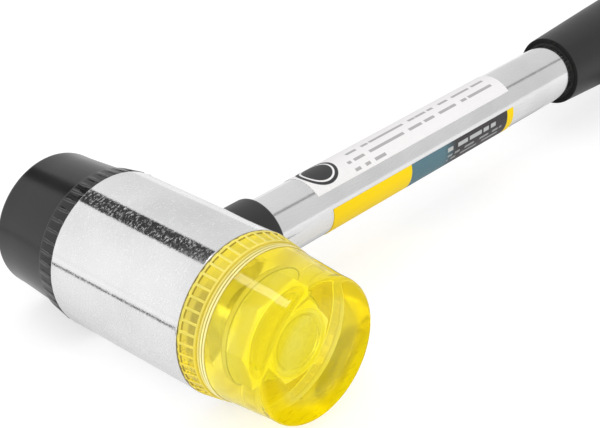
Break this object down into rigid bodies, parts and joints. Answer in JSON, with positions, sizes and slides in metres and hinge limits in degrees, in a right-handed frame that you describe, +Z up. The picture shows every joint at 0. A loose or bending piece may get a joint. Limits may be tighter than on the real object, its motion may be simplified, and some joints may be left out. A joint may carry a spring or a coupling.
{
  "type": "soft face hammer",
  "caption": "Soft face hammer with a chromed barrel, screw-on yellow and black plastic faces, a tube handle and a rubber grip.",
  "frame": {"origin": "middle of the part's outline, on the surface that it lies on", "axes": "+X along the head towards the yellow face, +Y along the handle towards the grip, +Z up"},
  "size_m": [0.0898, 0.2812, 0.0392],
  "materials": {
    "chrome_barrel": "polished",
    "chrome_tube": "polished",
    "plain_steel": "satin",
    "collar_plastic": "satin",
    "grip_rubber": "matte",
    "sticker_white": "satin",
    "sticker_band": "satin",
    "yellow_plastic": "clear gloss",
    "black_face_rubber": "satin"
  },
  "bodies": {
    "hammer": {"head_barrel": "chrome_barrel", "handle_tube": "chrome_tube", "handle_wedge": "plain_steel", "handle_collar": "collar_plastic", "grip": "grip_rubber", "tube_end_plug": "collar_plastic", "label_white": "sticker_white", "label_band": "sticker_band"},
    "yellow_washer": {"yellow_lock_washer": "plain_steel"},
    "yellow_end": {"yellow_face": "yellow_plastic", "yellow_face_bolt": "plain_steel"},
    "black_washer": {"black_lock_washer": "plain_steel"},
    "black_end": {"black_face": "black_face_rubber", "black_face_bolt": "plain_steel"}
  },
  "joints": [
    {"name": "yellow_advance", "type": "slide", "parent": "hammer", "child": "yellow_washer", "axis": [1, 0, 0], "range_m": [0, 0.01]},
    {"name": "yellow_unscrew", "type": "hinge", "parent": "yellow_washer", "child": "yellow_end", "pos_m": [0.0212, -0.121, 0.0196], "axis": [1, 0, 0], "range_deg": [0, 2400]},
    {"name": "black_advance", "type": "slide", "parent": "hammer", "child": "black_washer", "axis": [-1, 0, 0], "range_m": [0, 0.01]},
    {"name": "black_unscrew", "type": "hinge", "parent": "black_washer", "child": "black_end", "pos_m": [-0.0212, -0.121, 0.0196], "axis": [-1, 0, 0], "range_deg": [0, 2400]}
  ],
  "couplings": [
    {"joint": "yellow_advance", "follows": "yellow_unscrew", "m_per_rad": 0.00023873},
    {"joint": "black_advance", "follows": "black_unscrew", "m_per_rad": 0.00023873}
  ]
}
